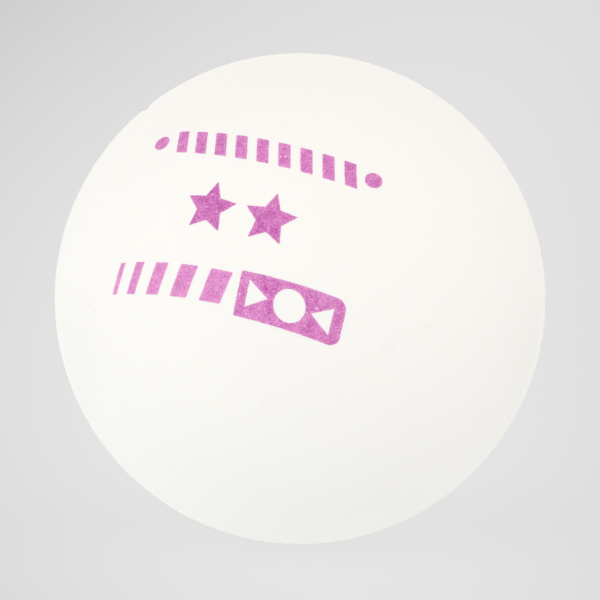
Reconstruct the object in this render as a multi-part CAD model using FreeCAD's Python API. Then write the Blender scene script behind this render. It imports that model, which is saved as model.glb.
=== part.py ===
"""Table tennis ball of the 40+ class: two moulded half shells, the cement that joins them, and the ink marks.

Millimetres. The origin is the ball's centre and +Z is up. The seam lies in the XZ plane, so the ball's
moulding axis is Y: the printed half is the front one, towards -Y, and the plain half is the rear one.
"""

import FreeCAD, Part
import math
import os

from FreeCAD import Vector

# ---- Driving dimensions: the hollow ball ----
BALL_DIAMETER = 40.2
WALL = 0.48
RIM_WALL = 0.84  # the wall is thicker along the seam, to make room for the lap joint
RIM_BAND = 1.8  # how far the thick rim reaches from the seam
RIM_TAPER = 1.1  # length of the cone from the thick rim to the plain wall
GATE_RADIUS = 0.8  # the sprue leaves a low disc inside each half, at its pole
GATE_HEIGHT = 0.12

# ---- Driving dimensions: the lap joint at the seam ----
BUTT_GAP = 0.06  # cement between the two outer rims
SPIGOT_WALL = 0.40  # the front half's tongue, on the inner side of the rim
SPIGOT_LENGTH = 0.90
LAP_GAP = 0.05  # cement round the tongue
END_GAP = 0.10  # cement past the tongue's end
SEAM_CHAMFER = 0.035  # the outer rim corners, which leave the fine seam line
BEAD_WIDTH = 0.25  # cement that squeezed out on the inside
BEAD_HEIGHT = 0.14

# ---- Driving dimensions: the straight nick across the seam, left where the flash was trimmed ----
NICK_ANGLE = 128.8  # round the seam from +X towards +Z, in degrees
NICK_DEPTH = 0.22
NICK_WIDTH = 0.95

# ---- Driving dimensions: the print ----
INK_THICKNESS = 0.02
PRINT_TURN = 17.4  # the print's centre, in degrees to the left of the front pole
PRINT_LIFT = 22.65  # and above it
PRINT_ROLL = -10.9  # the print's base line, in degrees from level
STRAIGHT_LIMIT = 2.6  # an artwork line longer than this is drawn as a curve on the ball

# Artwork sizes are measured along the ball's surface from the print's centre: x along the base line, y up.
STAR_RADIUS = 2.16
STAR_INNER_SHARE = 0.49
STAR_SPREAD = 2.46  # from the print's centre to each star's centre
STAR_LEFT_TURN = -1.2  # degrees: the pad set the left star a little askew

DASH_COUNT = 9
DASH_BOTTOM = 4.47
DASH_TOP = 6.61
DASH_ROW_START = -7.95
DASH_ROW_END = 8.10
DASH_GAP = 0.81
DASH_LEAN = 0.70  # how far a dash's top is set back from its foot

END_DOTS_AT = ((-9.25, 5.42), (9.10, 5.75))  # one at each end of the dash row
END_DOT_RADIUS = 0.70

LOWER_ROW_TOP = -3.5  # the bars and the badge lie under this height
LOWER_ROW_BOW = 0.007  # the pad let that row sink by this times x squared

BAR_BOTTOM = -7.19
BAR_TOP = -4.64
BAR_ROW_END = 0.20
BAR_WIDTHS = (1.75, 1.45, 1.15, 0.83, 0.50)  # from the badge outwards
BAR_GAP = 1.15
BAR_LEAN = 0.55  # how far a bar's top is set forward from its foot

BADGE_LEFT = 1.44
BADGE_RIGHT = 9.95
BADGE_LEFT_TOP = -4.32
BADGE_RIGHT_TOP = -3.91
BADGE_LEFT_BOTTOM = -7.80
BADGE_RIGHT_BOTTOM = -7.67
BADGE_LARGE_CORNER = 0.85
BADGE_SMALL_CORNER = 0.10
SIGN_AT = (5.60, -5.90)
SIGN_DISC_RADIUS = 1.28
SIGN_ARROW_GAP = 0.46
SIGN_ARROW_LENGTH = 1.68
SIGN_ARROW_HEIGHT = 2.15

# ---- Worked-out dimensions ----
OUTER_R = BALL_DIAMETER / 2
INNER_R = OUTER_R - WALL
RIM_INNER_R = OUTER_R - RIM_WALL
SPIGOT_OUTER_R = RIM_INNER_R + SPIGOT_WALL
SOCKET_R = SPIGOT_OUTER_R + LAP_GAP
SOCKET_DEPTH = SPIGOT_LENGTH + END_GAP
BUTT = BUTT_GAP / 2

CENTRE = Vector(0, 0, 0)
MOULD_AXIS = Vector(0, 1, 0)


def flat(x, y):
    return Vector(x, y, 0)


# ---- Shells and cement: profiles in the plane of x (the radius) and y, turned round the moulding axis ----
def on_circle(radius, y):
    """The point at that y on a circle of that radius round the ball's centre."""
    return flat(math.sqrt(radius**2 - y**2), y)


def arc_between(start, end, radius):
    """An arc round the ball's centre, from start to end."""
    middle = (start + end).normalize() * radius
    return Part.Arc(start, middle, end).toShape()


def line(start, end):
    return Part.makeLine(start, end)


def path(points):
    return [line(a, b) for a, b in zip(points, points[1:])]


def turned(edges):
    """The solid swept by a closed profile that turns once round the moulding axis."""
    face = Part.Face(Part.Wire(edges))
    solid = face.revolve(CENTRE, MOULD_AXIS, 360)
    return solid if solid.Volume > 0 else solid.reversed()


def half_shell(side, rim):
    """A half shell on the side of y that side gives, -1 or 1. rim lists its rim points, outer to inner."""
    pole_outer = flat(0, side * OUTER_R)
    outer_end = on_circle(OUTER_R, side * (BUTT + SEAM_CHAMFER))
    band_end = flat(RIM_INNER_R, side * RIM_BAND)
    wall_start = on_circle(INNER_R, side * (RIM_BAND + RIM_TAPER))
    gate_y = math.sqrt(INNER_R**2 - GATE_RADIUS**2)
    gate_foot = flat(GATE_RADIUS, side * gate_y)
    gate_rim = flat(GATE_RADIUS, side * (INNER_R - GATE_HEIGHT))
    gate_centre = flat(0, side * (INNER_R - GATE_HEIGHT))
    edges = [arc_between(pole_outer, outer_end, OUTER_R)]
    edges += path([outer_end] + rim + [band_end, wall_start])
    edges += [arc_between(wall_start, gate_foot, INNER_R)]
    edges += path([gate_foot, gate_rim, gate_centre, pole_outer])
    return turned(edges)


def front_half_shell():
    """The printed half, whose rim carries the tongue."""
    rim = [
        flat(OUTER_R - SEAM_CHAMFER, -BUTT),
        flat(SPIGOT_OUTER_R, -BUTT),
        flat(SPIGOT_OUTER_R, SPIGOT_LENGTH),
        flat(RIM_INNER_R, SPIGOT_LENGTH),
    ]
    return half_shell(-1, rim)


def rear_half_shell():
    """The plain half, whose rim has the socket that takes the tongue."""
    rim = [
        flat(OUTER_R - SEAM_CHAMFER, BUTT),
        flat(SOCKET_R, BUTT),
        flat(SOCKET_R, SOCKET_DEPTH),
        flat(RIM_INNER_R, SOCKET_DEPTH),
    ]
    return half_shell(1, rim)


def seam_cement():
    """One ring of cement: the butt joint, the lap round the tongue, and the bead squeezed out inside."""
    bead_low = flat(RIM_INNER_R, SPIGOT_LENGTH - BEAD_WIDTH)
    bead_high = flat(RIM_INNER_R, SOCKET_DEPTH + BEAD_WIDTH)
    bead_crest = flat(RIM_INNER_R - BEAD_HEIGHT, (SPIGOT_LENGTH + SOCKET_DEPTH) / 2)
    edges = path(
        [
            flat(SPIGOT_OUTER_R, -BUTT),
            flat(OUTER_R - SEAM_CHAMFER, -BUTT),
            flat(OUTER_R - SEAM_CHAMFER, BUTT),
            flat(SOCKET_R, BUTT),
            flat(SOCKET_R, SOCKET_DEPTH),
            flat(RIM_INNER_R, SOCKET_DEPTH),
            bead_high,
        ]
    )
    edges += [Part.Arc(bead_high, bead_crest, bead_low).toShape()]
    edges += path([bead_low, flat(RIM_INNER_R, SPIGOT_LENGTH), flat(SPIGOT_OUTER_R, SPIGOT_LENGTH)])
    edges += [line(flat(SPIGOT_OUTER_R, SPIGOT_LENGTH), flat(SPIGOT_OUTER_R, -BUTT))]
    return turned(edges)


def seam_nick():
    """The V-shaped cutter that takes the nick out of the shells. It lies along the moulding axis."""
    angle = math.radians(NICK_ANGLE)
    outwards = Vector(math.cos(angle), 0, math.sin(angle))
    sideways = Vector(-math.sin(angle), 0, math.cos(angle))
    half_length = math.sqrt(OUTER_R**2 - (OUTER_R - NICK_DEPTH) ** 2) + 1
    bottom = outwards * (OUTER_R - NICK_DEPTH) - MOULD_AXIS * half_length
    left = bottom + outwards * (2 * NICK_DEPTH) + sideways * NICK_WIDTH
    right = bottom + outwards * (2 * NICK_DEPTH) - sideways * NICK_WIDTH
    face = Part.Face(Part.makePolygon([bottom, left, right, bottom]))
    return face.extrude(MOULD_AXIS * (2 * half_length))


# ---- Print: flat artwork laid on the ball round the print's centre ----
def print_axes():
    """The direction of the print's centre, and the artwork's x and y directions there."""
    turn, lift, roll = (math.radians(a) for a in (PRINT_TURN, PRINT_LIFT, PRINT_ROLL))
    centre = Vector(
        -math.sin(turn) * math.cos(lift), -math.cos(turn) * math.cos(lift), math.sin(lift)
    )
    level = Vector(0, 0, 1).cross(centre).normalize()
    upright = centre.cross(level)
    x_way = level * math.cos(roll) + upright * math.sin(roll)
    y_way = upright * math.cos(roll) - level * math.sin(roll)
    return centre, x_way, y_way


PRINT_CENTRE, PRINT_X, PRINT_Y = print_axes()


def laid(point):
    """An artwork point, seen along the print's axis once the artwork lies on the ball.

    A point keeps its direction from the print's centre and its distance along the surface.
    """
    if point.y < LOWER_ROW_TOP:
        point = flat(point.x, point.y - LOWER_ROW_BOW * point.x**2)
    angle = point.Length / OUTER_R
    shrink = math.sin(angle) / angle
    return PRINT_X * (point.x * shrink) + PRINT_Y * (point.y * shrink)


def laid_line(start, end):
    """A straight artwork line as it lies on the ball."""
    if start.distanceToPoint(end) <= STRAIGHT_LIMIT:
        return line(laid(start), laid(end))
    curve = Part.BSplineCurve()
    curve.interpolate([laid(start + (end - start) * (step / 4)) for step in range(5)])
    return curve.toShape()


def laid_arc(start, middle, end):
    """A round artwork stretch as it lies on the ball."""
    return Part.Arc(laid(start), laid(middle), laid(end)).toShape()


def polar(centre, radius, degrees):
    angle = math.radians(degrees)
    return centre + flat(math.cos(angle), math.sin(angle)) * radius


def circle(centre, radius):
    quarters = range(0, 360, 90)
    return [laid_arc(*[polar(centre, radius, q + turn) for turn in (0, 45, 90)]) for q in quarters]


def outline(points):
    """A closed outline of straight artwork lines."""
    return [laid_line(a, b) for a, b in zip(points, points[1:] + points[:1])]


def rounded_outline(corners):
    """A closed outline with rounded corners, each given as its sharp point and its radius."""
    arcs = []
    for index, (point, radius) in enumerate(corners):
        back = (corners[index - 1][0] - point).normalize()
        ahead = (corners[(index + 1) % len(corners)][0] - point).normalize()
        half_angle = back.getAngle(ahead) / 2
        inwards = (back + ahead).normalize()
        middle = point + inwards * (radius / math.sin(half_angle) - radius)
        reach = radius / math.tan(half_angle)
        arcs.append((point + back * reach, middle, point + ahead * reach))
    edges = []
    for this, following in zip(arcs, arcs[1:] + arcs[:1]):
        edges += [laid_arc(*this), laid_line(this[2], following[0])]
    return edges


def ink(outer, holes=()):
    """An ink film: the artwork pushed out through the ball, and kept where it stands on the surface."""
    wires = [Part.Wire(edges) for edges in (outer, *holes)]
    face = Part.makeFace(wires, "Part::FaceMakerBullseye")
    column = face.extrude(PRINT_CENTRE * (OUTER_R + 1))
    film = column.common(Part.makeSphere(OUTER_R + INK_THICKNESS))
    return film.cut(Part.makeSphere(OUTER_R)).Solids


def star(centre_x, turn=0):
    points = []
    for step in range(10):
        radius = STAR_RADIUS * (STAR_INNER_SHARE if step % 2 else 1)
        points.append(polar(flat(centre_x, 0), radius, 90 + turn - 36 * step))
    return ink(outline(points))


def leaning_bar(left, right, bottom, top, lean):
    """A bar whose top stands further right than its foot by lean."""
    return ink(
        outline([flat(left, bottom), flat(right, bottom), flat(right + lean, top), flat(left + lean, top)])
    )


def dash_row():
    """The row of equal dashes above the stars, leaning back."""
    room = DASH_ROW_END - DASH_ROW_START - DASH_LEAN - DASH_GAP * (DASH_COUNT - 1)
    width = room / DASH_COUNT
    solids = []
    for index in range(DASH_COUNT):
        left = DASH_ROW_START + DASH_LEAN + index * (width + DASH_GAP)
        solids += leaning_bar(left, left + width, DASH_BOTTOM, DASH_TOP, -DASH_LEAN)
    return solids


def end_dots():
    solids = []
    for place in END_DOTS_AT:
        solids += ink(circle(flat(*place), END_DOT_RADIUS))
    return solids


def bar_row():
    """The row of bars under the stars, leaning forward and widening towards the badge."""
    solids = []
    right = BAR_ROW_END
    for width in BAR_WIDTHS:
        solids += leaning_bar(right - width, right, BAR_BOTTOM, BAR_TOP, BAR_LEAN)
        right -= width + BAR_GAP
    return solids


def badge():
    """The badge, left open where its sign shows: a ball between two arrows that point at it."""
    corners = [
        (flat(BADGE_LEFT, BADGE_LEFT_BOTTOM), BADGE_SMALL_CORNER),
        (flat(BADGE_RIGHT, BADGE_RIGHT_BOTTOM), BADGE_LARGE_CORNER),
        (flat(BADGE_RIGHT, BADGE_RIGHT_TOP), BADGE_LARGE_CORNER),
        (flat(BADGE_LEFT, BADGE_LEFT_TOP), BADGE_SMALL_CORNER),
    ]
    centre = flat(*SIGN_AT)
    sign = [circle(centre, SIGN_DISC_RADIUS)]
    tip = SIGN_DISC_RADIUS + SIGN_ARROW_GAP
    tail = tip + SIGN_ARROW_LENGTH
    for side in (-1, 1):
        arrow = [
            centre + flat(side * tip, 0),
            centre + flat(side * tail, SIGN_ARROW_HEIGHT / 2),
            centre + flat(side * tail, -SIGN_ARROW_HEIGHT / 2),
        ]
        sign.append(outline(arrow))
    return ink(rounded_outline(corners), sign)


def main():
    os.makedirs("parts", exist_ok=True)
    nick = seam_nick()
    nodes = {
        "front_half_shell": front_half_shell().cut(nick).Solids,
        "rear_half_shell": rear_half_shell().cut(nick).Solids,
        "seam_cement": seam_cement().cut(nick).Solids,
        "print_dash_row": dash_row(),
        "print_end_dots": end_dots(),
        "print_star_left": star(-STAR_SPREAD, STAR_LEFT_TURN),
        "print_star_right": star(STAR_SPREAD),
        "print_bar_row": bar_row(),
        "print_badge": badge(),
    }
    for name, solids in nodes.items():
        shape = solids[0] if len(solids) == 1 else Part.makeCompound(solids)
        shape.exportStep(f"parts/{name}.step")


main()
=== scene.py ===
"""The looks of a table tennis ball: matte white shells, a cemented seam, and mottled pink printed marks."""

import math
import random

import bmesh
import bpy
import numpy as np
from mathutils import Euler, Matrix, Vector, noise
from mathutils.geometry import delaunay_2d_cdt


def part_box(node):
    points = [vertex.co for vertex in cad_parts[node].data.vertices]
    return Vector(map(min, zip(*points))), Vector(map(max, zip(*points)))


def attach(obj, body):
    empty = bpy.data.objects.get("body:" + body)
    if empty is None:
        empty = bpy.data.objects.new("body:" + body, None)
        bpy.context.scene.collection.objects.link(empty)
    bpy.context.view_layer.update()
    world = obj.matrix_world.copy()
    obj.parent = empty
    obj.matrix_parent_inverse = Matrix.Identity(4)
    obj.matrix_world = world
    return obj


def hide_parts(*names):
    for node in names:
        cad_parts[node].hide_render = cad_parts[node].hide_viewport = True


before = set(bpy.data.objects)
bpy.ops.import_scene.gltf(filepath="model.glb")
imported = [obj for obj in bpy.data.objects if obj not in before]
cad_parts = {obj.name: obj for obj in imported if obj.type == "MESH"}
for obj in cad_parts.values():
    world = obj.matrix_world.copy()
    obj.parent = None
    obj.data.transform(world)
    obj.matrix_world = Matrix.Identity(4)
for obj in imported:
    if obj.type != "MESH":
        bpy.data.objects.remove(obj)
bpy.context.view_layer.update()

MM = 0.001

# ---- Sizes that the CAD parts in model.glb give ----
BALL_R = -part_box("front_half_shell")[0].y
TONGUE_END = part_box("front_half_shell")[1].y
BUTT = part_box("rear_half_shell")[0].y  # half the cement's thickness between the outer rims
CEMENT_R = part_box("seam_cement")[1].x
BEAD_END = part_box("seam_cement")[1].y

# ---- Sizes of the shells and the joint, the same as the CAD's ----
WALL = 0.48 * MM
RIM_WALL = 0.84 * MM
RIM_BAND = 1.8 * MM
RIM_TAPER = 1.1 * MM
TONGUE_WALL = 0.40 * MM
LAP_GAP = 0.05 * MM
SOCKET_END = TONGUE_END + 0.10 * MM
GATE_RADIUS = 0.8 * MM
GATE_HEIGHT = 0.12 * MM
BEAD_HEIGHT = 0.14 * MM
CHAMFER = BALL_R - CEMENT_R
INNER_R = BALL_R - WALL
RIM_INNER_R = BALL_R - RIM_WALL
TONGUE_OUTER_R = RIM_INNER_R + TONGUE_WALL
SOCKET_R = TONGUE_OUTER_R + LAP_GAP
NICK_ANGLE = math.radians(128.8)  # round the seam from +X towards +Z
NICK_DEPTH = 0.22 * MM
NICK_WIDTH = 0.95 * MM

# ---- How finely the pieces are meshed ----
DISC_COUNT = 160  # quads along each side of a half shell's square grid
RIM_EASING = 0.25  # how much closer together the grid's rows come towards the rim
CROWD_REACH = 1.1 * MM  # mesh lines that run along the nick crowd together this near it
CROWD_LENGTH = 3.0 * MM  # and this near the seam
CROWD_SHARE = 0.65
BEAD_STEPS = 6  # round the section of the cement bead
INK_STEP = 0.06 * MM  # along an ink edge
INK_GRID = 0.13 * MM  # between points inside an ink film
INK_GRID_CLEAR = 0.6 * INK_GRID  # those points stay this far off its edges
SHARP_ANGLE = math.radians(28)
SAME_PLACE = 1e-8  # points nearer to each other than this are one
WELD_DECIMALS = 7  # of a metre, to which the CAD's touching triangles agree

# ---- Surface relief ----
SINK_DEPTH = 0.014 * MM  # the moulding sank a little over its thick rim
SINK_FROM_SEAM = 1.2 * MM
SINK_WIDTH = 0.9 * MM
OUT_OF_ROUND = 0.006 * MM  # the height of the long, low waves
GATE_SLOPE = 0.15 * MM  # how wide the gate disc's sloping edge is
CEMENT_UNEVEN = 0.012 * MM
CEMENT_WAVES = 9.0  # the unevenness has about this many waves over the ball's radius
BEAD_UNEVEN = 0.4  # the bead's height varies by this share
NICK_LIP = 0.015 * MM  # the burr that stands up along the nick's edges
NICK_LIP_REACH = 0.05 * MM
LEAST_RISE = 0.1  # holds the nick's walls off infinity where they are far outside the ball

# ---- Ink films ----
INK_FILM = 0.02 * MM
FILM_TOP_SHARE = 0.75  # the CAD film's points above this share of its thickness are on its outer face
INK_SINK = 0.002 * MM  # the film's underside lies this far below the shell's surface
INK_SOFTENING = 2  # rounds of smoothing that take an artwork corner's point off
INK_RAGGED = 0.028 * MM  # how far an edge strays to each side
RAGGED_WAVES = ((0.65, 0.35 * MM), (0.6, 0.13 * MM))  # share and size of each
INK_UNEVEN = 0.3  # the film's thickness varies by this share
INK_UNEVEN_SIZE = 0.4 * MM
INK_EDGE_SHARE = 0.5  # the film thins to this share at its edge
INK_EDGE_REACH = 0.25 * MM  # and over this distance
VOIDS_PER_MM2 = 0.32
VOID_SEED = 40
VOID_RADII = (0.035 * MM, 0.10 * MM)
VOID_RADIUS_POWER = 3  # most voids are small
VOID_POINTS = 9
VOID_SQUASH = (0.6, 1.0)
VOID_RAGGED = (0.75, 1.25)
VOID_ROOM = 2.2  # a void's middle keeps this many radii from any edge
STARS = ("print_star_left", "print_star_right")
# How fully each mark took its ink, from 0 (pale) to 1 (dark)
INK_DEPTHS = {
    "print_dash_row": 0.60,
    "print_end_dots": 0.60,
    "print_star_left": 1.00,
    "print_star_right": 0.90,
    "print_bar_row": 0.17,
    "print_badge": 0.58,
}

# ---- Noises ----
# Each is its waves' size, how many finer octaves it has, and how strong each octave is beside the one before
INK_GRAIN = (0.13 * MM, 3, 0.6)
INK_CLOUD = (0.8 * MM, 2, 0.5)
INK_PINPRICKS = (0.1 * MM, 2, 0.5)
SHELL_DRIFT = (9 * MM, 3, 0.5)
SHELL_SMUDGES = (2.2 * MM, 3, 0.6)
SHELL_RUBS = (1.5 * MM, 4, 0.5)
SHELL_HAIRLINES = (0.35 * MM, 1, 0.5)
SHELL_GRAIN = (0.09 * MM, 3, 0.5)
SHELL_PEEL = (0.9 * MM, 2, 0.5)
CEMENT_CLOUD = (0.8 * MM, 3, 0.5)
CEMENT_GRAIN = (0.2 * MM, 3, 0.5)
MOST_NOISE = (0.3, 0.7)  # most of a noise's values lie between these

# ---- Look of the ink ----
INK_DARK = (0.455, 0.045, 0.34, 1)
INK_PALE = (0.80, 0.34, 0.65, 1)
INK_CLOUD_SHARE = 0.25  # of the mottle; the grain is the rest
INK_MOTTLE = (0.18, 0.64)  # the mottle's values where the ink is darkest and palest
INK_DEPTH_SHIFT = 0.15  # a full charge of ink moves those values up by this
INK_EDGE_PALER = 0.2
INK_ROUGHNESS = (0.4, 0.6)
INK_GLOSS = 0.35
INK_RELIEF = 0.006 * MM
INK_BUMP = 0.6
PINPRICK_COLOUR = (0.90, 0.80, 0.84, 1)  # the shell, seen through a gap in the ink
PINPRICK_RANGE = (0.68, 0.76)  # the noise at a gap's edge, and where the gap is full
PINPRICK_SHARE = 0.7

# ---- Look of the shells ----
SHELL_COLOURS = ((0.897, 0.886, 0.854, 1), (0.909, 0.900, 0.870, 1))  # the white drifts between these
PAINTED_EDGE_LIGHT_COLOUR = (0.925, 0.917, 0.882, 1)  # painted light: the white lightens to this towards the outline, standing in for light that comes through the thin wall
PAINTED_EDGE_LIGHT_RANGE = (0.45, 0.75)  # the painted edge light grows between these, by how far the surface turns away, from 0 (not at all) to 1 (side-on)
DUST_COLOUR = (0.42, 0.34, 0.22, 1)
DUST_STRENGTH = 0.14
DUST_SPACING = 3.2 * MM
DUST_RADII = (0.025, 0.045)  # in spacings: dark up to the first, and gone at the second
DUST_KEPT = 0.4  # share of the specks that show
SMUDGE_COLOUR = (0.62, 0.60, 0.58, 1)
SMUDGE_STRENGTH = 0.10
SMUDGE_RANGE = (0.66, 0.78)  # the noise at a smudge's edge and in its middle
SHELL_ROUGHNESS = (0.44, 0.54)
HAIRLINE_STRETCH = (1, 1, 14)
HAIRLINE_RANGE = (0.70, 0.74)  # the noise at a hairline's edge and in its middle
HAIRLINE_SMOOTHER = 0.08
SHELL_GLOSS = 0.35
OUTLINE_FADE = (0.5, 0.85)  # gloss and relief fade out between these, by how far the surface turns away
SHELL_RELIEF = 0.004 * MM
SHELL_BUMP = 0.5
TRANSLUCENCE = 0.2
TRANSLUCENCE_RADII = (1.0, 0.85, 0.65)  # red, green and blue
TRANSLUCENCE_DEPTH = 0.4 * MM

# ---- Look of the cement ----
CEMENT_COLOURS = ((0.74, 0.66, 0.46, 1), (0.84, 0.79, 0.64, 1))
CEMENT_ROUGHNESS = (0.25, 0.4)
CEMENT_TRANSLUCENCE = 0.3
CEMENT_DEPTH = 0.2 * MM
CEMENT_RELIEF = 0.01 * MM
CEMENT_BUMP = 0.6

# ---- View ----
CAMERA_DISTANCE = 0.24
CAMERA_TURN = math.radians(-2.99)
CAMERA_LIFT = math.radians(3.76)
CAMERA_SENSOR = 36.0  # in millimetres, as the lens is
BALL_SHARE = 0.818  # the ball's outline takes this share of the picture's width
AIM_DROP = 0.12 * MM  # the camera looks this far under the ball's centre

# ---- Stage and light ----
FLOOR_RADIUS = 6.0
FLOOR_SIDES = 96
FLOOR_GAP = 0.02 * MM
FLOOR_WHITE = 0.78
SHADOW_REACH = (0.5 * BALL_R, 5 * BALL_R)  # it fades out between these distances from the ball's foot
SHADOW_STEEPNESS = (0.17, 0.30)  # the sine of a low view's lift, and of one from well above
SHADOW_SHOWN = (0.2, 0.95)  # how much of the shadow shows in each
SHADE = 0.7  # the table behind the ball gives back this much less light
SHADE_START = (0.5 * BALL_R, 2 * BALL_R)  # behind the ball's foot
SHADE_REACH = (5 * BALL_R, 15 * BALL_R)
# Brightness over the picture, by u (right) and v (up) from its middle, each from -1 to 1
BACKDROP = {
    "": 0.80,
    "u": 0.005,
    "v": -0.03,
    "uv": 0.02,
    "uu": -0.06,
    "vv": -0.05,
    "uvv": 0.03,
    "uuv": 0.01,
}
# Strength of the tent's light, by the direction it comes from
TENT = {
    "": 1.10,
    "x": -0.04,
    "y": -0.115,
    "z": 0.035,
    "xy": -0.085,
    "yz": -0.08,
    "xz": 0.15,
    "yy": -0.17,
    "zz": -0.255,
}
TENT_WARM_WAY = (0.35, 0.0, 0.94)  # the light from here is the warmest
TENT_COOL = (1.0, 1.02, 1.02, 1)
TENT_WARM = (1.0, 0.96, 0.945, 1)
SOFTBOX_SIZE = 0.5
SOFTBOX_ENERGY = 0.35  # watts
SOFTBOX_AT = (-0.35, -0.45, 0.45)


# ---- Points on the ball ----
def lengths(rows):
    return np.linalg.norm(rows, axis=1)


def spun(radius, y, angle):
    """Points at a distance from the moulding axis, a place along it, and an angle round it."""
    radius, y, angle = np.broadcast_arrays(radius, y, angle)
    return np.stack([radius * np.cos(angle), y, radius * np.sin(angle)], axis=1)


def relief(unit):
    """How far the surface stands off the true sphere, in each direction: long, low waves, and the sink."""
    from_seam = np.abs(unit[:, 1]) * BALL_R
    sink = SINK_DEPTH * np.exp(-(((from_seam - SINK_FROM_SEAM) / SINK_WIDTH) ** 2))
    x, y, z = unit.T
    wander = np.sin(3 * x + 1) * np.cos(2 * y) + np.sin(3 * z - y)
    return OUT_OF_ROUND * wander - sink


def nick_walls(unit):
    """How far out the nick's sloping walls are, in each direction. It runs along the moulding axis."""
    outwards = np.array([math.cos(NICK_ANGLE), 0.0, math.sin(NICK_ANGLE)])
    sideways = np.array([-math.sin(NICK_ANGLE), 0.0, math.cos(NICK_ANGLE)])
    slope = NICK_DEPTH / (NICK_WIDTH / 2)
    rise = unit @ outwards - slope * np.abs(unit @ sideways)
    return (BALL_R - NICK_DEPTH) / np.maximum(rise, LEAST_RISE)


def moulded(points):
    """Points of a ball piece with the surface relief, the nick and the nick's raised lips."""
    distance = lengths(points)
    unit = points / distance[:, None]
    height = distance + relief(unit)
    nick_wall = nick_walls(unit)
    lip = NICK_LIP * np.exp(-(((nick_wall - height) / NICK_LIP_REACH) ** 2))
    return unit * np.minimum(height + lip, nick_wall)[:, None]


# ---- Meshes ----
def quad_disc(count):
    """A disc made of a square grid: its points' distances from the centre (0 to 1) and angles, and quads."""
    steps = np.linspace(-1, 1, count + 1)
    a, b = (grid.ravel() for grid in np.meshgrid(steps, steps))
    wide = np.abs(a) > np.abs(b)
    reach = np.where(wide, a, b)
    lean = np.where(wide, b, a) / np.where(reach == 0, 1, reach) * math.pi / 4
    turn = np.where(wide, lean, math.pi / 2 - lean)
    angle = np.arctan2(reach * np.sin(turn), reach * np.cos(turn))
    low = (np.arange(count)[:, None] * (count + 1) + np.arange(count)).ravel()
    quads = np.stack([low, low + 1, low + count + 2, low + count + 1], axis=1)
    return np.abs(reach), angle, quads


def crowded(angle, from_rim):
    """Angles round the seam, drawn together near the nick."""
    across = (angle - NICK_ANGLE + math.pi) % (2 * math.pi) - math.pi
    away = np.hypot(across * BALL_R / CROWD_REACH, from_rim * BALL_R / CROWD_LENGTH)
    return NICK_ANGLE + across * (1 - CROWD_SHARE * np.exp(-(away**2)))


def angles_round(points):
    """Each point's angle round the moulding axis."""
    return np.arctan2(points[:, 2], points[:, 0])


def dome(radius, rim_y, side):
    """A half ball's points and quads, from a pole to the circle at rim_y.

    The third result is that circle's point numbers, in their order round the moulding axis.
    """
    share, angle, quads = quad_disc(DISC_COUNT)
    rim_arc = math.acos(side * rim_y / radius)
    arc = rim_arc * share * (1 + RIM_EASING * (1 - share**2))
    angle = crowded(angle, rim_arc - arc)
    points = spun(radius * np.sin(arc), side * radius * np.cos(arc), angle)
    rim = np.flatnonzero(share > 1 - SAME_PLACE)
    return points, quads, rim[np.argsort(angles_round(points[rim]))]


def band(first, second):
    """Quads between two rings of point numbers."""
    return np.stack([first, np.roll(first, -1), np.roll(second, -1), second], axis=1)


def make_object(name, points, faces, material):
    """A smooth-shaded piece that rides on the ball, with its faces turned outwards."""
    mesh = bpy.data.meshes.new(name)
    mesh.from_pydata([tuple(p) for p in points], [], [tuple(int(i) for i in f) for f in faces])
    shape = bmesh.new()
    shape.from_mesh(mesh)
    bmesh.ops.recalc_face_normals(shape, faces=shape.faces)
    shape.to_mesh(mesh)
    shape.free()
    mesh.shade_smooth()
    mesh.set_sharp_from_angle(angle=SHARP_ANGLE)
    mesh.materials.append(material)
    piece = bpy.data.objects.new(name, mesh)
    bpy.context.scene.collection.objects.link(piece)
    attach(piece, "root")
    return piece


# ---- Half shells and cement ----
def gated(points, side):
    """The inner surface's points with the gate's low disc raised at the pole."""
    off_axis = np.hypot(points[:, 0], points[:, 2])
    raised = np.clip((GATE_RADIUS - off_axis) / GATE_SLOPE, 0, 1)
    level = side * (INNER_R - GATE_HEIGHT)
    points[:, 1] += raised * (level - points[:, 1])
    return points


def half_shell(name, side, rim_profile, material):
    """A half shell whose rim goes through the profile's (radius, y) points from the outside in."""
    outer, outer_quads, outer_rim = dome(BALL_R, side * (BUTT + CHAMFER), side)
    wall_start = side * (RIM_BAND + RIM_TAPER)
    inner, inner_quads, inner_rim = dome(INNER_R, wall_start, side)
    angle = angles_round(outer[outer_rim])
    inner[inner_rim] = spun(math.sqrt(INNER_R**2 - wall_start**2), wall_start, angle)
    points = [outer, gated(inner, side)]
    faces = [outer_quads, inner_quads + len(outer)]
    total = len(outer) + len(inner)
    last = outer_rim
    for radius, y in [*rim_profile, (RIM_INNER_R, side * RIM_BAND)]:
        ring = total + np.arange(len(angle))
        points.append(spun(radius, y, angle))
        faces.append(band(last, ring))
        last = ring
        total += len(angle)
    faces.append(band(last, inner_rim + len(outer)))
    points = moulded(np.concatenate(points))
    piece = make_object(name + "_skin", points, np.concatenate(faces), material)
    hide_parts(name)


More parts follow.
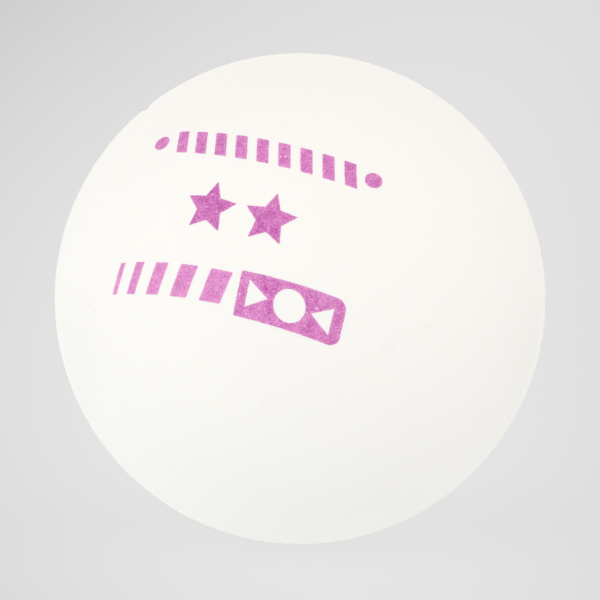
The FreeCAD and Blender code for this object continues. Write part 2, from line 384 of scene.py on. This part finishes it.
def seam_cement(material):
    """The cement ring, a little uneven where it shows in the seam and where it squeezed out inside."""
    spots, _, rim = dome(BALL_R, BUTT + CHAMFER, 1)
    angle = angles_round(spots[rim])
    wave_places = CEMENT_WAVES * spun(1.0, 0.0, angle)
    uneven = np.array([noise.noise(Vector(place)) for place in wave_places])
    bead_low = TONGUE_END - (BEAD_END - SOCKET_END)
    bead = []
    for turn in np.linspace(0, math.pi, BEAD_STEPS + 1)[1:-1]:
        y = (bead_low + BEAD_END) / 2 + math.cos(turn) * (BEAD_END - bead_low) / 2
        bead.append((RIM_INNER_R - BEAD_HEIGHT * math.sin(turn) * (1 + BEAD_UNEVEN * uneven), y))
    visible = CEMENT_R + CEMENT_UNEVEN * uneven
    profile = [
        (TONGUE_OUTER_R, -BUTT),
        (visible, -BUTT),
        (visible, BUTT),
        (SOCKET_R, BUTT),
        (SOCKET_R, SOCKET_END),
        (RIM_INNER_R, SOCKET_END),
        (RIM_INNER_R, BEAD_END),
        *bead,
        (RIM_INNER_R, bead_low),
        (RIM_INNER_R, TONGUE_END),
        (TONGUE_OUTER_R, TONGUE_END),
    ]
    rings = [np.arange(len(angle)) + index * len(angle) for index in range(len(profile))]
    points = moulded(np.concatenate([spun(radius, y, angle) for radius, y in profile]))
    faces = np.concatenate([band(a, b) for a, b in zip(rings, rings[1:] + rings[:1])])
    piece = make_object("seam_cement_line", points, faces, material)
    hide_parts("seam_cement")


# ---- Ink: the CAD's films, redrawn with ragged edges, voids and an uneven thickness ----
def film_top(node):
    """A film node's welded points, and the triangles of its outer face."""
    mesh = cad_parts[node].data
    points = np.array([v.co for v in mesh.vertices])
    welded, number = np.unique(np.round(points, WELD_DECIMALS), axis=0, return_inverse=True)
    triangles = number.ravel()[np.array([p.vertices for p in mesh.polygons])]
    on_top = lengths(welded) > BALL_R + FILM_TOP_SHARE * INK_FILM
    return welded, triangles[on_top[triangles].all(axis=1)]


def face_centre(node):
    """The direction of the middle of a film node's outer face."""
    points, triangles = film_top(node)
    a, b, c = (points[triangles[:, k]] for k in range(3))
    area = lengths(np.cross(b - a, c - a))[:, None]
    middle = ((a + b + c) * area).sum(axis=0)
    return middle / np.linalg.norm(middle)


star_left, star_right = (face_centre(node) for node in STARS)
PRINT_CENTRE = (star_left + star_right) / np.linalg.norm(star_left + star_right)
PRINT_X = (star_right - star_left) / np.linalg.norm(star_right - star_left)
PRINT_Y = np.cross(PRINT_CENTRE, PRINT_X)


def flattened(points):
    """Artwork places of points on the ball: as far from the print's centre as along the ball's surface."""
    unit = points / lengths(points)[:, None]
    arc = BALL_R * np.arccos(np.clip(unit @ PRINT_CENTRE, -1, 1))
    way = np.stack([unit @ PRINT_X, unit @ PRINT_Y], axis=1)
    return way * (arc / lengths(way))[:, None]


def laid(places, height):
    """Points at a height over the ball's surface, for artwork places."""
    arc = lengths(places)
    angle = (arc / BALL_R)[:, None]
    way = (places[:, :1] * PRINT_X + places[:, 1:] * PRINT_Y) / arc[:, None]
    unit = np.cos(angle) * PRINT_CENTRE + np.sin(angle) * way
    return unit * (BALL_R + relief(unit) + height)[:, None]


def open_edges(faces):
    """The directed edges that only one face uses."""
    used = {(int(a), int(b)) for f in faces for a, b in zip(f, np.roll(f, -1))}
    return [(a, b) for a, b in used if (b, a) not in used]


def loops_of(node):
    """A film node's outlines as closed runs of artwork places."""
    points, triangles = film_top(node)
    places = flattened(points)
    following = dict(open_edges(triangles))
    loops = []
    while following:
        start = min(following)
        run = [start]
        while (step := following.pop(run[-1])) != start:
            run.append(step)
        loops.append(places[run])
    return loops


def wobble(places, size):
    """Smooth noise between about -1 and 1 at artwork places, with waves of that size."""
    return np.array([noise.noise(Vector((x / size, y / size, 0.5))) for x, y in places])


def inked_edge(loop):
    """An outline as ink leaves it: stepped evenly, soft at its corners and a little ragged."""
    stepped = []
    for a, b in zip(loop, np.roll(loop, -1, axis=0)):
        count = max(1, round(float(np.linalg.norm(b - a)) / INK_STEP))
        stepped.append(a + (b - a) * np.linspace(0, 1, count, endpoint=False)[:, None])
    edge = np.concatenate(stepped)
    for _ in range(INK_SOFTENING):
        edge = (np.roll(edge, 1, axis=0) + 2 * edge + np.roll(edge, -1, axis=0)) / 4
    along = np.roll(edge, -1, axis=0) - np.roll(edge, 1, axis=0)
    outwards = np.stack([along[:, 1], -along[:, 0]], axis=1) / lengths(along)[:, None]
    ragged = sum(share * wobble(edge, size) for share, size in RAGGED_WAVES)
    return edge + outwards * (INK_RAGGED * ragged)[:, None]


def inside(places, loops):
    """Whether each artwork place lies inside the loops, with holes left out."""
    within = np.zeros(len(places), bool)
    x, y = places.T
    for loop in loops:
        for (x0, y0), (x1, y1) in zip(loop, np.roll(loop, -1, axis=0)):
            if y0 != y1:
                within ^= ((y0 > y) != (y1 > y)) & (x < x0 + (y - y0) * (x1 - x0) / (y1 - y0))
    return within


def distance_to(spots, places):
    """How far each place is from the nearest spot."""
    return np.array([lengths(spots - place).min() for place in places])


def voids(loops, dice):
    """Small ragged holes where no ink took, scattered over the loops' inside."""
    spots = np.concatenate(loops)
    low, high = spots.min(axis=0), spots.max(axis=0)
    tries = round(float(np.prod((high - low) / MM)) * VOIDS_PER_MM2)
    small, large = VOID_RADII
    holes = []
    for _ in range(tries):
        centre = np.array([dice.uniform(low[0], high[0]), dice.uniform(low[1], high[1])])
        radius = small + (large - small) * dice.random() ** VOID_RADIUS_POWER
        squash, tilt = dice.uniform(*VOID_SQUASH), dice.uniform(0, math.pi)
        rims = [radius * dice.uniform(*VOID_RAGGED) for _ in range(VOID_POINTS)]
        taken = np.concatenate([spots, *holes])
        if not inside(centre[None], loops)[0] or lengths(taken - centre).min() < VOID_ROOM * radius:
            continue
        turns = np.linspace(0, 2 * math.pi, VOID_POINTS, endpoint=False)
        x, y = rims * np.cos(turns), rims * np.sin(turns) * squash
        hole = [x * math.cos(tilt) - y * math.sin(tilt), x * math.sin(tilt) + y * math.cos(tilt)]
        holes.append(centre + np.stack(hole, axis=1))
    return holes


def grid_inside(loops):
    """Artwork places on a triangular grid inside the loops, kept off their edges."""
    spots = np.concatenate(loops)
    low, high = spots.min(axis=0), spots.max(axis=0)
    rows = np.arange(low[1], high[1], INK_GRID * math.sin(math.pi / 3))
    places = []
    for index, y in enumerate(rows):
        x = np.arange(low[0] + INK_GRID / 2 * (index % 2), high[0], INK_GRID)
        places.append(np.stack([x, np.full(len(x), y)], axis=1))
    places = np.concatenate(places)
    places = places[inside(places, loops)]
    return places[distance_to(spots, places) > INK_GRID_CLEAR]


def ink_film(node, dice, material):
    """A closed film over a node's outlines, thin at its edges and uneven inside."""
    loops = [inked_edge(loop) for loop in loops_of(node)]
    loops += voids(loops, dice)
    outlines = np.concatenate(loops)
    edges, count = [], 0
    for loop in loops:
        edges += [(count + k, count + (k + 1) % len(loop)) for k in range(len(loop))]
        count += len(loop)
    places = np.concatenate([outlines, grid_inside(loops)])
    flat, _, faces, *_ = delaunay_2d_cdt([Vector(p) for p in places], edges, [], 0, SAME_PLACE)
    places, faces = np.array(flat), np.array(faces)
    faces = faces[inside(places[faces].mean(axis=1), loops)]
    charge = np.minimum(distance_to(outlines, places) / INK_EDGE_REACH, 1)
    thinned = INK_EDGE_SHARE + (1 - INK_EDGE_SHARE) * charge
    thickness = INK_FILM * thinned * (1 + INK_UNEVEN * wobble(places, INK_UNEVEN_SIZE))
    points = np.concatenate([laid(places, thickness), laid(places, -INK_SINK)])
    base = len(places)
    walls = [(a, b, b + base, a + base) for a, b in open_edges(faces)]
    faces = [*faces, *(faces[:, ::-1] + base), *walls]
    piece = make_object(node + "_film", points, faces, material)
    piece.data.attributes.new("charge", "FLOAT", "POINT").data.foreach_set("value", np.tile(charge, 2))
    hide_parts(node)


# ---- Materials ----
class Shader:
    """A node tree with a short way to add a node and wire it in."""

    def __init__(self, owner):
        owner.use_nodes = True
        self.tree = owner.node_tree
        self.tree.nodes.clear()

    def node(self, kind, inputs=None, **settings):
        """A new node. Each of its inputs is wired to another node's output, or set to a value."""
        node = self.tree.nodes.new(kind)
        for key, value in settings.items():
            setattr(node, key, value)
        for key, value in (inputs or {}).items():
            if isinstance(value, bpy.types.NodeSocket):
                self.tree.links.new(value, node.inputs[key])
            else:
                node.inputs[key].default_value = value
        return node

    def math(self, operation, *values):
        return self.node("ShaderNodeMath", dict(enumerate(values)), operation=operation).outputs[0]

    def place(self):
        """The point's place in its object's frame, in metres."""
        return self.node("ShaderNodeTexCoord").outputs["Object"]

    def part(self, vector, axis):
        """A vector's x, y or z."""
        return self.node("ShaderNodeSeparateXYZ", {0: vector}).outputs["xyz".index(axis)]

    def noise(self, size, octaves, roughness, stretch=None):
        """Noise between 0 and 1 with waves of about that size."""
        place = self.place()
        if stretch:
            place = self.node("ShaderNodeMapping", {"Vector": place, "Scale": stretch}).outputs[0]
        inputs = {"Vector": place, "Scale": 1 / size, "Detail": octaves, "Roughness": roughness}
        return self.node("ShaderNodeTexNoise", inputs).outputs["Fac"]

    def span(self, value, low, high, to_low=0.0, to_high=1.0):
        """Value carried from one range to another, and held at its ends."""
        inputs = {"Value": value, 1: low, 2: high, 3: to_low, 4: to_high}
        return self.node("ShaderNodeMapRange", inputs, interpolation_type="SMOOTHSTEP").outputs[0]

    def blend(self, share, first, second):
        """A colour between two."""
        return self.node("ShaderNodeMix", {0: share, 6: first, 7: second}, data_type="RGBA").outputs[2]

    def bump(self, height, distance, strength, below=None):
        """A surface direction tilted by a height from 0 to 1, on top of the bump below."""
        inputs = {"Height": height, "Distance": distance, "Strength": strength}
        if below:
            inputs["Normal"] = below
        return self.node("ShaderNodeBump", inputs).outputs[0]

    def polynomial(self, variables, shares):
        """The sum of products of the variables: {"": 1, "xz": 0.5} is 1 + 0.5 * x * z."""
        total = shares[""]
        for letters, share in shares.items():
            if letters:
                term = variables[letters[0]]
                for letter in letters[1:]:
                    term = self.math("MULTIPLY", term, variables[letter])
                total = self.math("MULTIPLY_ADD", term, share, total)
        return total

    def finish(self, inputs):
        surface = self.node("ShaderNodeBsdfPrincipled", inputs).outputs[0]
        self.node("ShaderNodeOutputMaterial", {"Surface": surface})


def grey(level):
    return (level, level, level, 1.0)


def dusted(s, colour):
    """The colour with scattered dust specks."""
    cell = s.node("ShaderNodeTexVoronoi", {"Vector": s.place(), "Scale": 1 / DUST_SPACING})
    lot = s.node("ShaderNodeSeparateColor", {0: cell.outputs["Color"]}).outputs[0]
    kept = s.math("GREATER_THAN", lot, 1 - DUST_KEPT)
    speck = s.math("MULTIPLY", s.span(cell.outputs["Distance"], *DUST_RADII, 1, 0), kept)
    return s.blend(s.math("MULTIPLY", speck, DUST_STRENGTH), colour, DUST_COLOUR)


def smudged(s, colour):
    """The colour with faint grey patches where the ball was handled."""
    smudge = s.span(s.noise(*SHELL_SMUDGES), *SMUDGE_RANGE)
    return s.blend(s.math("MULTIPLY", smudge, SMUDGE_STRENGTH), colour, SMUDGE_COLOUR)


def shell_roughness(s):
    """Matte, with rubbed patches and a few smoother hairlines."""
    rubbed = s.span(s.noise(*SHELL_RUBS), *MOST_NOISE, *SHELL_ROUGHNESS)
    hairline = s.span(s.noise(*SHELL_HAIRLINES, HAIRLINE_STRETCH), *HAIRLINE_RANGE)
    return s.math("MULTIPLY_ADD", hairline, -HAIRLINE_SMOOTHER, rubbed)


def shell_material():
    """Matte white ABS: a faint tint drift, dust, smudges, rubbed patches, hairlines and a tumbled grain, and
    painted light that lightens the white towards the outline.
    """
    material = bpy.data.materials.new("white_abs")
    s = Shader(material)
    turned_away = s.node("ShaderNodeLayerWeight").outputs["Facing"]
    colour = s.blend(s.noise(*SHELL_DRIFT), *SHELL_COLOURS)
    colour = smudged(s, dusted(s, colour))
    # Painted light: the colour turns lighter towards the outline, where light would come through the thin
    # wall
    colour = s.blend(s.span(turned_away, *PAINTED_EDGE_LIGHT_RANGE), colour, PAINTED_EDGE_LIGHT_COLOUR)
    strength = s.span(turned_away, *OUTLINE_FADE, SHELL_BUMP, 0.0)
    grain = s.bump(s.noise(*SHELL_GRAIN), SHELL_RELIEF, strength)
    s.finish(
        {
            "Base Color": colour,
            "Roughness": shell_roughness(s),
            "Specular IOR Level": s.span(turned_away, *OUTLINE_FADE, SHELL_GLOSS, 0.0),
            "Subsurface Weight": TRANSLUCENCE,
            "Subsurface Radius": TRANSLUCENCE_RADII,
            "Subsurface Scale": TRANSLUCENCE_DEPTH,
            "Normal": s.bump(s.noise(*SHELL_PEEL), SHELL_RELIEF, strength, grain),
        }
    )
    return material


def cement_material():
    """Dried solvent cement: a little yellow, smoother than the shell and cloudy."""
    material = bpy.data.materials.new("seam_cement")
    s = Shader(material)
    cloud = s.noise(*CEMENT_CLOUD)
    s.finish(
        {
            "Base Color": s.blend(cloud, *CEMENT_COLOURS),
            "Roughness": s.span(cloud, *MOST_NOISE, *CEMENT_ROUGHNESS),
            "Subsurface Weight": CEMENT_TRANSLUCENCE,
            "Subsurface Scale": CEMENT_DEPTH,
            "Normal": s.bump(s.noise(*CEMENT_GRAIN), CEMENT_RELIEF, CEMENT_BUMP),
        }
    )
    return material


def ink_material(name, depth):
    """Pad-printing ink: pink-magenta, mottled by the pad's grain, with pinprick gaps that show the shell.

    A depth of 1 is a full charge of ink, and 0 a thin, pale one. It's paler where the film thins at its edge.
    """
    material = bpy.data.materials.new(name)
    s = Shader(material)
    grain = s.noise(*INK_GRAIN)
    cloud = s.math("MULTIPLY", s.noise(*INK_CLOUD), INK_CLOUD_SHARE)
    mottle = s.math("MULTIPLY_ADD", grain, 1 - INK_CLOUD_SHARE, cloud)
    darkest, palest = (value + INK_DEPTH_SHIFT * depth for value in INK_MOTTLE)
    thinness = s.math("SUBTRACT", 1.0, s.node("ShaderNodeAttribute", attribute_name="charge").outputs["Fac"])
    paleness = s.math("MULTIPLY_ADD", thinness, INK_EDGE_PALER, s.span(mottle, darkest, palest))
    pinprick = s.span(s.noise(*INK_PINPRICKS), *PINPRICK_RANGE, 0.0, PINPRICK_SHARE)
    s.finish(
        {
            "Base Color": s.blend(pinprick, s.blend(paleness, INK_DARK, INK_PALE), PINPRICK_COLOUR),
            "Roughness": s.span(grain, *MOST_NOISE, *INK_ROUGHNESS),
            "Specular IOR Level": INK_GLOSS,
            "Normal": s.bump(grain, INK_RELIEF, INK_BUMP),
        }
    )
    return material


# ---- Stage, light and camera ----
def backdrop_light(s):
    """The pale backdrop's brightness over the picture: most in the lower middle, and less to the corners."""
    window = s.node("ShaderNodeTexCoord").outputs["Window"]
    u = s.math("MULTIPLY_ADD", s.part(window, "x"), 2, -1)
    v = s.math("MULTIPLY_ADD", s.part(window, "y"), 2, -1)
    return s.polynomial({"u": u, "v": v}, BACKDROP)


def tent_light(s, way):
    """The soft tent round the ball, by the direction light comes from: its tint and its strength."""
    level = s.polynomial({axis: s.part(way, axis) for axis in "xyz"}, TENT)
    lean = s.node("ShaderNodeVectorMath", {0: way, 1: TENT_WARM_WAY}, operation="DOT_PRODUCT")
    tint = s.blend(s.math("MULTIPLY_ADD", lean.outputs["Value"], 0.5, 0.5), TENT_COOL, TENT_WARM)
    return tint, level


def world_light():
    """The tent for all light, and the plain backdrop where the camera looks past the floor."""
    world = bpy.data.worlds.new("soft_tent")
    bpy.context.scene.world = world
    s = Shader(world)
    tint, level = tent_light(s, s.node("ShaderNodeTexCoord").outputs["Generated"])
    tent = s.node("ShaderNodeBackground", {"Color": tint, "Strength": level}).outputs[0]
    plain = s.node("ShaderNodeBackground", {"Color": grey(1), "Strength": backdrop_light(s)}).outputs[0]
    seen = s.node("ShaderNodeLightPath").outputs["Is Camera Ray"]
    mixed = s.node("ShaderNodeMixShader", {0: seen, 1: tent, 2: plain}).outputs[0]
    s.node("ShaderNodeOutputWorld", {"Surface": mixed})


def table_shadow(s, coming, away):
    """How far the table takes a true shadow: only near the ball's foot, and more as the view gets steeper."""
    shown = s.span(s.part(coming, "z"), *SHADOW_STEEPNESS, *SHADOW_SHOWN)
    return s.math("MULTIPLY", s.span(away, *SHADOW_REACH, 1.0, 0.0), shown)


def table_glow(s, coming, away):
    """The light that the table gives back to the ball: the tent's own, but less from behind the ball."""
    way = s.node("ShaderNodeVectorMath", {0: coming, "Scale": -1.0}, operation="SCALE").outputs[0]
    tint, level = tent_light(s, way)
    behind = s.span(s.part(s.place(), "y"), *SHADE_START)
    near = s.span(away, *SHADE_REACH, 1.0, 0.0)
    kept = s.math("MULTIPLY_ADD", s.math("MULTIPLY", behind, near), -SHADE, 1.0)
    strength = s.math("MULTIPLY", level, kept)
    return s.node("ShaderNodeEmission", {"Color": tint, "Strength": strength}).outputs[0]


def table_material():
    """A pale table, where the camera sees the backdrop and a soft shadow, and the ball the tent's light."""
    material = bpy.data.materials.new("pale_table")
    s = Shader(material)
    coming = s.node("ShaderNodeNewGeometry").outputs["Incoming"]
    away = s.node("ShaderNodeVectorMath", {0: s.place()}, operation="LENGTH").outputs["Value"]
    plain = s.node("ShaderNodeEmission", {"Color": grey(1), "Strength": backdrop_light(s)}).outputs[0]
    matte = s.node("ShaderNodeBsdfDiffuse", {"Color": grey(FLOOR_WHITE)}).outputs[0]
    shown = s.node("ShaderNodeMixShader", {0: table_shadow(s, coming, away), 1: plain, 2: matte}).outputs[0]
    seen = s.node("ShaderNodeLightPath").outputs["Is Camera Ray"]
    mixed = s.node("ShaderNodeMixShader", {0: seen, 1: table_glow(s, coming, away), 2: shown}).outputs[0]
    s.node("ShaderNodeOutputMaterial", {"Surface": mixed})
    return material


def floor():
    """A round table top just under the ball."""
    mesh = bpy.data.meshes.new("floor")
    shape = bmesh.new()
    bmesh.ops.create_circle(shape, cap_ends=True, segments=FLOOR_SIDES, radius=FLOOR_RADIUS)
    shape.to_mesh(mesh)
    shape.free()
    mesh.materials.append(table_material())
    table = bpy.data.objects.new("floor", mesh)
    table.location = (0, 0, -BALL_R - FLOOR_GAP)
    bpy.context.scene.collection.objects.link(table)


def softbox():
    """A large soft light, high in front on the left."""
    light = bpy.data.lights.new("softbox", "AREA")
    light.shape = "DISK"
    light.size = SOFTBOX_SIZE
    light.energy = SOFTBOX_ENERGY
    lamp = bpy.data.objects.new("softbox", light)
    lamp.location = SOFTBOX_AT
    lamp.rotation_euler = Vector(SOFTBOX_AT).to_track_quat("Z", "Y").to_euler()
    bpy.context.scene.collection.objects.link(lamp)


def camera():
    """The camera, with the lens that gives the ball its share of the picture."""
    data = bpy.data.cameras.new("camera")
    data.sensor_width = CAMERA_SENSOR
    data.lens = BALL_SHARE * CAMERA_SENSOR / 2 / math.tan(math.asin(BALL_R / CAMERA_DISTANCE))
    data.clip_start = BALL_R / 2
    data.clip_end = 2 * FLOOR_RADIUS
    viewer = bpy.data.objects.new("camera", data)
    place = Euler((-CAMERA_LIFT, 0, CAMERA_TURN)).to_matrix() @ Vector((0, -CAMERA_DISTANCE, 0))
    viewer.location = place
    aim = Vector((0, 0, -AIM_DROP)) - place
    viewer.rotation_euler = aim.to_track_quat("-Z", "Y").to_euler()
    bpy.context.scene.collection.objects.link(viewer)
    bpy.context.scene.camera = viewer
    bpy.context.scene.view_settings.view_transform = "Standard"


def build():
    white = shell_material()
    front_rim = [
        (CEMENT_R, -BUTT),
        (TONGUE_OUTER_R, -BUTT),
        (TONGUE_OUTER_R, TONGUE_END),
        (RIM_INNER_R, TONGUE_END),
    ]
    rear_rim = [(CEMENT_R, BUTT), (SOCKET_R, BUTT), (SOCKET_R, SOCKET_END), (RIM_INNER_R, SOCKET_END)]
    half_shell("front_half_shell", -1, front_rim, white)
    half_shell("rear_half_shell", 1, rear_rim, white)
    seam_cement(cement_material())
    dice = random.Random(VOID_SEED)
    for node, depth in INK_DEPTHS.items():
        ink_film(node, dice, ink_material(node.replace("print", "ink"), depth))
    floor()
    world_light()
    softbox()
    camera()


build()
